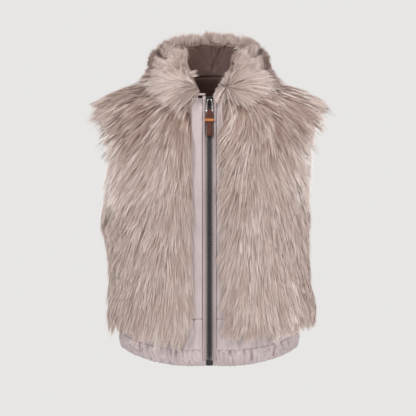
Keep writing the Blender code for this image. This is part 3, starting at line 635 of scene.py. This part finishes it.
# comb strokes: place in mm, then the way the hair lies there
rightFrontStrokes = [
    (-38, -98, -20, 0.05, 0, -1.0), (-60, -96, -24, -0.40, 0, -0.92), (-37, -112, -90, 0.10, 0, -1.0),
    (-37, -114, -200, 0.10, 0, -1.0), (-37, -112, -330, 0.10, 0, -1.0), (-95, -75, -18, -0.90, 0, -0.50),
    (-152, -30, -28, -0.90, 0.3, -0.60), (-105, -10, 0, -1.0, 0.25, -0.20),
    (-42, -115, -150, -0.10, 0, -1.0), (-95, -95, -140, -0.66, 0, -0.78),
    (-148, -52, -130, -0.85, 0.2, -0.60),
    (-42, -112, -270, -0.04, 0, -1.0), (-95, -95, -260, -0.40, 0, -0.92),
    (-145, -50, -240, -0.64, 0.25, -0.75), (-160, -5, -250, -0.2, 0.35, -0.90),
    (-42, -110, -390, -0.08, 0, -1.0), (-95, -95, -380, -0.22, 0, -1.0),
    (-145, -50, -370, -0.30, 0.1, -0.95), (-160, -5, -370, -0.1, 0.2, -1.0),
]
leftFrontStrokes = [
    (38, -98, -20, -0.60, 0, -0.80), (40, -106, -55, -0.75, 0, -0.75), (60, -96, -24, 0.20, 0, -0.98),
    (36, -112, -90, -0.55, 0, -0.95), (95, -75, -18, 0.70, 0, -0.70), (152, -30, -28, 0.90, 0.3, -0.60),
    (105, -10, 0, 1.0, 0.25, -0.20),
    (36, -115, -150, -0.62, 0, -0.95), (70, -108, -150, 0.10, 0, -1.0), (100, -95, -140, 0.42, 0, -0.92),
    (148, -52, -130, 0.62, 0.2, -0.75),
    (36, -112, -270, -0.62, 0, -0.95), (70, -105, -270, 0.08, 0, -1.0), (100, -95, -260, 0.28, 0, -0.97),
    (145, -50, -240, 0.44, 0.25, -0.88), (160, -5, -250, 0.2, 0.35, -0.90),
    (36, -110, -390, -0.50, 0, -1.0), (95, -95, -380, 0.22, 0, -1.0),
    (145, -50, -370, 0.42, 0.1, -0.90), (160, -5, -370, 0.15, 0.2, -1.0),
]
halfBackStrokes = [
    (0, 92, 10, 0, 0, -1.0), (90, 65, 5, 0.60, 0, -0.70), (152, 25, -30, 0.90, -0.25, -0.65),
    (105, 10, 0, 1.0, -0.15, -0.20),
    (0, 104, -180, 0, 0, -1.0), (95, 85, -150, 0.35, 0, -0.95), (150, 40, -150, 0.60, -0.1, -0.80),
    (0, 98, -350, 0, 0, -1.0), (95, 85, -330, 0.15, 0, -1.0), (160, 5, -300, 0.15, -0.1, -1.0),
]
backStrokes = halfBackStrokes + [(-x, y, z, -dx, dy, dz) for x, y, z, dx, dy, dz in halfBackStrokes if x]


collarRing = dict(radius=0.075, foot=0.004, slope=0.021, tall=0.056)  # the neckline rises to the back
collarHub = dict(right=-0.019, left=0.028, y=-0.082, z=-0.006, wide=0.014)  # hair bursts out from here


def collarComb(points, normals):
    # up at the top edge, down at the foot, and bursting out from the two front ends
    turnCos = (points[:, 1] + formSettings["neckShift"]) / collarRing["radius"]  # -1 in front, 1 behind
    foot = collarRing["foot"] + collarRing["slope"] * turnCos
    high = np.clip((points[:, 2] - foot) / collarRing["tall"], 0, 1)
    flow = normals * (0.5 + 1.0 * np.exp(-(((high - 0.5) / 0.2) ** 2)))[:, None]
    flow[:, 2] += -1.1 + 2.1 * high
    hub = np.tile([0.0, collarHub["y"], collarHub["z"]], (len(points), 1))
    hub[:, 0] = np.where(points[:, 0] < 0, collarHub["right"], collarHub["left"])
    share = eased(-turnCos, 0.2, 0.9)[:, None]
    flow = unit(flow) * (1 - share) + unit(points - hub) * share * 1.2
    low = eased(-high, -0.45, -0.2) * eased(-turnCos, -0.2, 0.4)
    flow[:, 2] -= 1.1 * low
    atSide = np.exp(-(((turnCos + 0.05) / 0.4) ** 2)) * eased(high, 0.35, 0.6)
    flow[:, 1] -= 0.25 * low + 0.9 * atSide  # hair at the sides leans forward
    atEnd = eased(-turnCos - 0.98 + 0.107 * high, -0.07, 0.0) * eased(high, 0.15, 0.35)
    flow[:, 0] -= np.sign(points[:, 0]) * 1.1 * atEnd
    flow[:, 1] -= 0.4 * atEnd
    fromHub = np.linalg.norm(points - hub, axis=-1) / collarHub["wide"]
    flow += normals * np.exp(-(fromHub**2))[:, None] * 0.8
    return unit(flow)


def rimComb(points, normals):
    # over the collar's inner top edge, some locks standing up and some falling in
    turn = np.arctan2(points[:, 0], points[:, 1] + formSettings["neckShift"])
    flow = -normals * 0.55
    flow[:, 2] += 0.55 + 0.75 * np.sin(turn * 23) * np.sin(turn * 9 + 1)
    return flow


def combWith(strokes):
    return lambda points, normals: combed(points, strokes)


furPieces = [
    ("fur_front_right", awayFromBody, combWith(rightFrontStrokes), frontFur, 11),
    ("fur_front_left", awayFromBody, combWith(leftFrontStrokes), frontFur, 12),
    ("fur_back", awayFromBody, combWith(backStrokes), backFur, 13),
    ("collar_fur", awayFromNeck, collarComb, collarFur, 14),
]
furFlat = {  # width, length and area as cut
    "fur_front_right": (0.215, 0.45, 0.074), "fur_front_left": (0.215, 0.45, 0.074),
    "fur_back": (0.43, 0.48, 0.165), "collar_fur": (0.48, 0.062, 0.028),
}
underShare = 0.32  # how far the short fur fills the pile
for node, away, comb, fur, seed in furPieces:
    hairs = [growFur(node + "_hairs", node, away, comb, fur, seed)]
    if node == "collar_fur":
        hairs.append(growFur("collar_rim_hairs", node, away, rimComb, rimFur, 15))
    under = underFur(node + "_under", node, away, underShare)
    wide, long, area = furFlat[node]

# woven cloth

def girth(points):
    # way round the body from the middle of the front
    turn = np.arctan2(points[:, 0] / formSettings["halfWide"], -points[:, 1] / formSettings["halfDeep"])
    return formSettings["girthRadius"] * turn


def girthAt(x):
    return formSettings["girthRadius"] * math.asin(max(-1, min(1, x / formSettings["halfWide"])))


def trough(across, up, crease):
    # one soft fold from foot to head, deepest at its foot, with a low ridge on each side
    (x0, z0, x1, z1), depth, width = crease[:4], crease[4], crease[5]
    start, run = np.array([x0, z0]), np.array([x1 - x0, z1 - z0])
    here = np.stack([across, up], axis=-1) - start
    along = np.clip((here @ run) / (run @ run), 0, 1)
    gap = np.linalg.norm(here - along[:, None] * run, axis=-1) / width
    fade = 1 - 0.6 * along
    return depth * fade * (0.45 * np.exp(-((gap - 1.7) ** 2)) - np.exp(-(gap**2)))


tuckSettings = dict(upZ=(-0.052, -0.029), back=0.75, backZ=(-0.038, -0.024))  # behind the neck binding


def creasedCloth(
    name, node, levels, creases,
    limit=0.004, tuckedTop=0.0, material=shellCloth,
):
    mesh = refinedMesh(node, levels)
    points, normals = coordinates(mesh), vertexNormals(mesh)
    points[:, 2] += tuckedTop * eased(points[:, 2], *tuckSettings["upZ"])
    points[:, 1] += tuckedTop * tuckSettings["back"] * eased(points[:, 2], *tuckSettings["backZ"])
    out = (normals * awayFromBody(points)).sum(-1)
    across = girth(points)
    shift = sum((trough(across, points[:, 2], crease) for crease in creases), np.zeros(len(points)))
    shift = np.clip(shift, -limit, limit) * np.sign(out) * (np.abs(out) > 0.3)
    setCoordinates(mesh, points + normals * shift[:, None])
    piece = addPiece(name, mesh, [material], [node])


def frontCreases(rows, deeper=1.0):
    creases = []
    for x0, z0, x1, z1, depth, width in np.array(rows) / 1000:
        creases.append((girthAt(x0), z0, girthAt(x1), z1, deeper * depth, width))
    return creases


def spreadCreases(seed, low, high, every, z0, z1, lean, depth):
    # creases at about even steps, each a little different
    rng = np.random.default_rng(seed)
    places = np.arange(low, high, every)
    places = places + rng.uniform(-0.35, 0.35, len(places)) * every
    creases = []
    for across in places:
        foot = (across, z0 + rng.uniform(-0.004, 0.004))
        head = (across + rng.uniform(-lean, lean), z0 + (z1 - z0) * rng.uniform(0.45, 1.0))
        creases.append((*foot, *head, depth * rng.uniform(0.5, 1.1), rng.uniform(0.0012, 0.0022)))
    return creases


def bothSides(seed, near, far, *settings):
    return spreadCreases(seed, -far, -near, *settings) + spreadCreases(seed + 1, near, far, *settings)


# creases on the fronts: foot x z, head x z, depth, width in mm
hemFrontRows = [
    (-115, -447, -112, -466, 1.6, 1.8), (-96, -478, -96, -468, 1.3, 1.6), (-80, -481, -79, -474, 1.2, 1.5),
    (-73, -458, -74, -470, 1.4, 1.8), (-54, -459, -55, -482, 1.9, 1.8), (-66, -483, -66, -476, 1.2, 1.4),
    (-34, -484, -34, -476, 1.1, 1.5), (-122, -452, -126, -468, 1.5, 1.8),
    (56, -459, 57, -482, 1.8, 1.8), (66, -456, 69, -476, 1.8, 1.7), (96, -457, 92, -474, 1.8, 1.8),
    (107, -452, 105, -470, 1.8, 1.7), (117, -446, 122, -464, 1.8, 1.8), (129, -442, 134, -458, 1.6, 1.8),
    (34, -461, 40, -483, 1.5, 1.8), (22, -462, 24, -480, 1.2, 1.6),
]
yokeFrontRows = [
    (-48, -456, -43, -440, 1.6, 2.2), (-36, -455, -23, -425, 1.7, 2.6), (-70, -450, -66, -430, 1.2, 2.4),
    (-20, -452, -17, -420, 1.1, 2.2), (-92, -452, -84, -436, 1.2, 2.4), (-112, -444, -104, -428, 1.2, 2.4),
    (49, -455, 43, -432, 1.7, 2.4), (112, -446, 117, -430, 1.6, 2.4), (30, -455, 27, -430, 1.2, 2.2),
    (76, -453, 73, -432, 1.2, 2.4), (95, -450, 96, -432, 1.1, 2.4),
]
hemFront = frontCreases(hemFrontRows, 3.0)
hemFront += spreadCreases(21, -0.20, 0.20, 0.0058, -0.459, -0.484, 0.003, 0.0032)
hemSides = bothSides(22, 0.17, 0.43, 0.0085, -0.446, -0.474, 0.004, 0.0028)
yokeFront = frontCreases(yokeFrontRows, 2.2)
yokeSides = bothSides(24, 0.15, 0.43, 0.016, -0.450, -0.412, 0.008, 0.0014)

for hand in ("left", "right"):
    creasedCloth(
        f"hem_{hand}", f"hem_front_{hand}", 2, hemFront + hemSides,
        limit=0.0058,
    )
    creasedCloth(
        f"yoke_{hand}", f"yoke_front_{hand}", 2, yokeFront + yokeSides,
    )
creasedCloth("hem_rear", "hem_back", 2, hemSides)
creasedCloth("yoke_rear", "yoke_back", 2, yokeSides)
placketRows = [
    (-14, -36, -28, -31, 1.8, 1.8), (15, -33, 27, -37, 1.6, 1.8), (-15, -44, -26, -50, 1.4, 2.0),
    (-15, -59, -29, -63, 1.5, 1.5), (-15, -71, -27, -67, 1.3, 1.5), (-17, -322, -10, -386, 0.8, 2.2),
    (-22, -60, -24, -110, 0.7, 2.6), (-15, -180, -18, -250, 0.5, 2.4), (20, -120, 24, -200, 0.6, 2.6),
    (17, -300, 22, -370, 0.7, 2.4),
]
for hand in ("left", "right"):
    creasedCloth(
        f"placket_{hand}_cloth", f"placket_{hand}", 2, frontCreases(placketRows),
        tuckedTop=0.012,
    )
    creasedCloth(f"facing_{hand}_cloth", f"zip_facing_{hand}", 1, [])
    creasedCloth(f"binding_{hand}", f"neck_binding_{hand}", 1, [])
liningPlaces = (-0.37, -0.33, 0.31, 0.35, 0.40)  # round the body from the front
liningCreases = [(place, -0.05, place + 0.02, -0.20, 0.0022, 0.006) for place in liningPlaces]
liningCreases += spreadCreases(26, -0.43, 0.43, 0.035, -0.44, -0.28, 0.02, 0.002)
creasedCloth(
    "lining_rear", "lining_back", 2, liningCreases,
    material=liningPaintedShade,
)
print("woven cloth made")


def collarLining(name, node, folds):
    # inside of the collar, with the soft cross folds of a turned-in facing
    mesh = refinedMesh(node, 2)
    points, normals = coordinates(mesh), vertexNormals(mesh)
    turn = np.arctan2(points[:, 0], points[:, 1] + formSettings["neckShift"]) * formSettings["neckRadius"]
    shift = sum((trough(turn, points[:, 2], fold) for fold in folds), np.zeros(len(points)))
    inward = (normals * awayFromNeck(points)).sum(-1)
    setCoordinates(mesh, points - awayFromNeck(points) * shift[:, None] * (np.abs(inward) > 0.3)[:, None])
    piece = addPiece(name, mesh, [liningPaintedShade], [node])


# foot and head of each fold round the neck, depth, width in metres
collarFolds = [
    (-0.030, 0.088, -0.004, 0.040, 0.0034, 0.004), (0.004, 0.090, 0.012, 0.045, 0.0026, 0.004),
    (0.030, 0.086, 0.008, 0.036, 0.0034, 0.004), (-0.052, 0.080, -0.020, 0.030, 0.0018, 0.004),
    (0.055, 0.082, 0.034, 0.034, 0.0018, 0.004), (-0.085, 0.070, -0.070, 0.020, 0.0016, 0.004),
    (0.088, 0.070, 0.072, 0.020, 0.0016, 0.004),
]
collarLining("collar_lining", "collar_facing", collarFolds)

# zip

def zipLine():
    # middle line of the chain's front, from the foot up
    shape = weldedCopy("zip_chain")
    front = {vert for face in shape.faces if face.normal.y < -0.5 for vert in face.verts if vert.co.x > 0.002}
    line = sorted((vert.co.copy() for vert in front), key=lambda point: point.z)
    shape.free()
    return np.array([(0, point.y, point.z) for point in line])


def alongLine(line, distance):
    gaps = np.linalg.norm(np.diff(line, axis=0), axis=1)
    travelled = np.concatenate([[0], np.cumsum(gaps)])

    def at(place):
        return np.array([np.interp(place, travelled, line[:, axis]) for axis in range(3)])

    ahead = Vector(at(distance + 0.004) - at(distance - 0.004)).normalized()
    return Vector(at(distance)), ahead, travelled[-1]


def zipFrame(line, distance):
    point, up, total = alongLine(line, distance)
    across = Vector((1, 0, 0))
    return Matrix.Translation(point) @ Matrix((across, up.cross(across), up)).transposed().to_4x4(), total


teethSettings = dict(
    pitch=0.0040, tall=0.0027, deep=0.0034, reach=0.0050, past=0.0012, bevel=0.0004, standOff=0.0002,
    core=0.0050, coreThick=0.0010, coreDeep=0.0016,
)
zipPath = zipLine()
zipLong = zipFrame(zipPath, 0.0)[1]
pitch, reach, past = teethSettings["pitch"], teethSettings["reach"], teethSettings["past"]
teeth = bmesh.new()
for number in range(int(zipLong / pitch * 2)):
    side = 1 if number % 2 else -1
    place = zipFrame(zipPath, number * pitch / 2)[0]
    size = Matrix.Diagonal((reach + past, teethSettings["deep"], teethSettings["tall"], 1))
    level = teethSettings["deep"] / 2 + teethSettings["standOff"]
    seat = Matrix.Translation((side * (reach - past) / 2, level, 0))
    bmesh.ops.create_cube(teeth, size=1, matrix=place @ seat @ size)
    size = Matrix.Diagonal((teethSettings["core"], teethSettings["coreThick"], pitch / 2, 1))
    seat = Matrix.Translation((0, teethSettings["coreDeep"], 0))
    bmesh.ops.create_cube(teeth, size=1, matrix=place @ seat @ size)  # woven core between the rows
bmesh.ops.bevel(
    teeth, geom=teeth.edges[:], offset=teethSettings["bevel"], offset_type="OFFSET",
    segments=1, profile=0.5, affect="EDGES", material=-1,
)
addPiece("zip_teeth", meshOf(teeth, "zip_teeth"), [teethPlastic], ["zip_chain"], smooth=False)

# the tapes meet behind the teeth, and run on behind the stop at the foot
tapeSettings = dict(held=0.0090, edge=0.0049, middle=0.0002, runOn=0.0125, stopZ=(0.462, 0.4705))
held, edge, middle = tapeSettings["held"], tapeSettings["edge"], tapeSettings["middle"]
for hand, side in (("left", 1), ("right", -1)):
    mesh = refinedMesh(f"zip_tape_{hand}", 1)
    points = coordinates(mesh)
    wide = np.abs(points[:, 0])
    inner = middle + (wide - edge) * (held - middle) / (held - edge)
    points[:, 0] = side * np.where(wide < held, inner, wide)
    points[:, 2] -= tapeSettings["runOn"] * eased(-points[:, 2], *tapeSettings["stopZ"])
    setCoordinates(mesh, points)
    tape = addPiece(f"tape_{hand}", mesh, [tapeCloth], [f"zip_tape_{hand}"])

stitchSettings = dict(
    long=0.0026, gap=0.0007, thick=0.0008, lines=(0.0080, 0.0113), level=-0.0016, past=0.010,
)
stitches = bmesh.new()
step = stitchSettings["long"] + stitchSettings["gap"]
size = Matrix.Diagonal((stitchSettings["thick"], stitchSettings["thick"], stitchSettings["long"], 1))
for side in (-1, 1):
    for line in stitchSettings["lines"]:
        seat = Matrix.Translation((side * line, stitchSettings["level"], 0))
        for number in range(int((zipLong + stitchSettings["past"]) / step) - 2):
            place = zipFrame(zipPath, number * step)[0]
            bmesh.ops.create_cube(stitches, size=1, matrix=place @ seat @ size)
tackSettings = dict(x=0.0265, z=-0.404, wide=0.0036, tall=0.0013, thick=0.0008)
size = Matrix.Diagonal((tackSettings["wide"], tackSettings["thick"], tackSettings["tall"], 1))
for hand, side in (("left", 1), ("right", -1)):
    yoke = weldedCopy(f"yoke_front_{hand}")
    ahead = Vector((side * tackSettings["x"], -1, tackSettings["z"]))
    seat = treeOf(yoke.faces).ray_cast(ahead, Vector((0, 1, 0)))[0]
    yoke.free()
    bmesh.ops.create_cube(stitches, size=1, matrix=Matrix.Translation(seat) @ size)
addPiece("topstitching", meshOf(stitches, "topstitching"), [threadCloth], smooth=False)
print("zip made")

# hardware
for node, material in (("zip_slider", sliderMetal), ("zip_box", teethPlastic)):
    cad[node].data.materials.clear()
    cad[node].data.materials.append(material)
for node, material in (("strap", strapLeather), ("keeper", keeperLeather)):
    mesh = refinedMesh(f"pull_{node}", 2, hold=0.85)
    addPiece(f"pull_{node}_leather", mesh, [material], [f"pull_{node}"], body="pull")

ringSettings = dict(heavier=0.0006, above=(0.012, 0.007))  # the foot of the ring is a heavier bar
ringMesh = refinedMesh("pull_ring", 1)
ringPoints = coordinates(ringMesh)
high, low = ringSettings["above"]
ringFoot = ringPoints[:, 2].min()
heavier = ringSettings["heavier"] * eased(-ringPoints[:, 2], -ringFoot - high, -ringFoot - low)
setCoordinates(ringMesh, ringPoints + vertexNormals(ringMesh) * heavier[:, None])
addPiece("pull_ring_metal", ringMesh, [ringMetal], ["pull_ring"], body="pull")
print("slider and pull made")

# studio
backColour = (0.799, 0.791, 0.776)
floorMesh = bmesh.new()
floorPlace = Matrix.Translation((0, 0, -0.84))
bmesh.ops.create_circle(floorMesh, cap_ends=True, segments=96, radius=9.0, matrix=floorPlace)
floor = bpy.data.objects.new("floor", meshOf(floorMesh, "floor"))
floorMaterial = bpy.data.materials.new("pale floor")
floorMaterial.use_nodes = True
floorTree = floorMaterial.node_tree
floorTree.nodes.remove(floorTree.nodes["Principled BSDF"])
glow = addNode(floorTree, "Emission", {"Color": (*backColour, 1), "Strength": 1.0})
floorTree.links.new(glow.outputs["Emission"], floorTree.nodes["Material Output"].inputs["Surface"])
floor.data.materials.append(floorMaterial)
floor.visible_diffuse = False
floor.visible_glossy = False
bpy.context.scene.collection.objects.link(floor)

lightSettings = dict(ambient=0.63, key=27.0, fill=21.0, top=15.0, side=17.0)
world = bpy.data.worlds.new("studio")
bpy.context.scene.world = world
world.use_nodes = True
tree = world.node_tree
background = tree.nodes["Background"]
background.inputs["Color"].default_value = (*backColour, 1)
seen = addNode(tree, "LightPath")
strength = remapped(tree, seen.outputs["Is Camera Ray"], (0, 1), (lightSettings["ambient"], 1.0))
tree.links.new(strength, background.inputs["Strength"])


def softLight(name, place, aim, size, power):
    data = bpy.data.lights.new(name, "AREA")
    data.shape = "DISK"
    data.size = size
    data.energy = power
    lamp = bpy.data.objects.new(name, data)
    lamp.location = place
    lamp.rotation_euler = (Vector(aim) - Vector(place)).to_track_quat("-Z", "Y").to_euler()
    bpy.context.scene.collection.objects.link(lamp)


softLight("key", (-1.0, -2.2, 0.9), (0, 0, -0.2), 0.8, lightSettings["key"])
softLight("fill", (1.3, -2.0, -0.6), (0, 0, -0.25), 1.0, lightSettings["fill"])
for hand in (-1, 1):
    softLight("side", (hand * 2.3, -0.7, 0.2), (0, 0, -0.2), 1.4, lightSettings["side"])
softLight("top", (0.5, -0.2, 1.7), (0, 0, 0), 1.2, lightSettings["top"])

cameraSettings = dict(lens=120, rise=3, far=2.5, aim=(-0.0025, 0, -0.216))  # mm, degrees, metres
camera = bpy.data.objects.new("camera", bpy.data.cameras.new("camera"))
camera.data.lens = cameraSettings["lens"]
camera.data.sensor_width = 36
rise = math.radians(cameraSettings["rise"])
aim = Vector(cameraSettings["aim"])
camera.location = aim + Vector((0, -math.cos(rise), math.sin(rise))) * cameraSettings["far"]
camera.rotation_euler = (aim - camera.location).to_track_quat("-Z", "Y").to_euler()
bpy.context.scene.collection.objects.link(camera)
bpy.context.scene.camera = camera
bpy.context.scene.view_settings.view_transform = "Standard"

print("studio made")
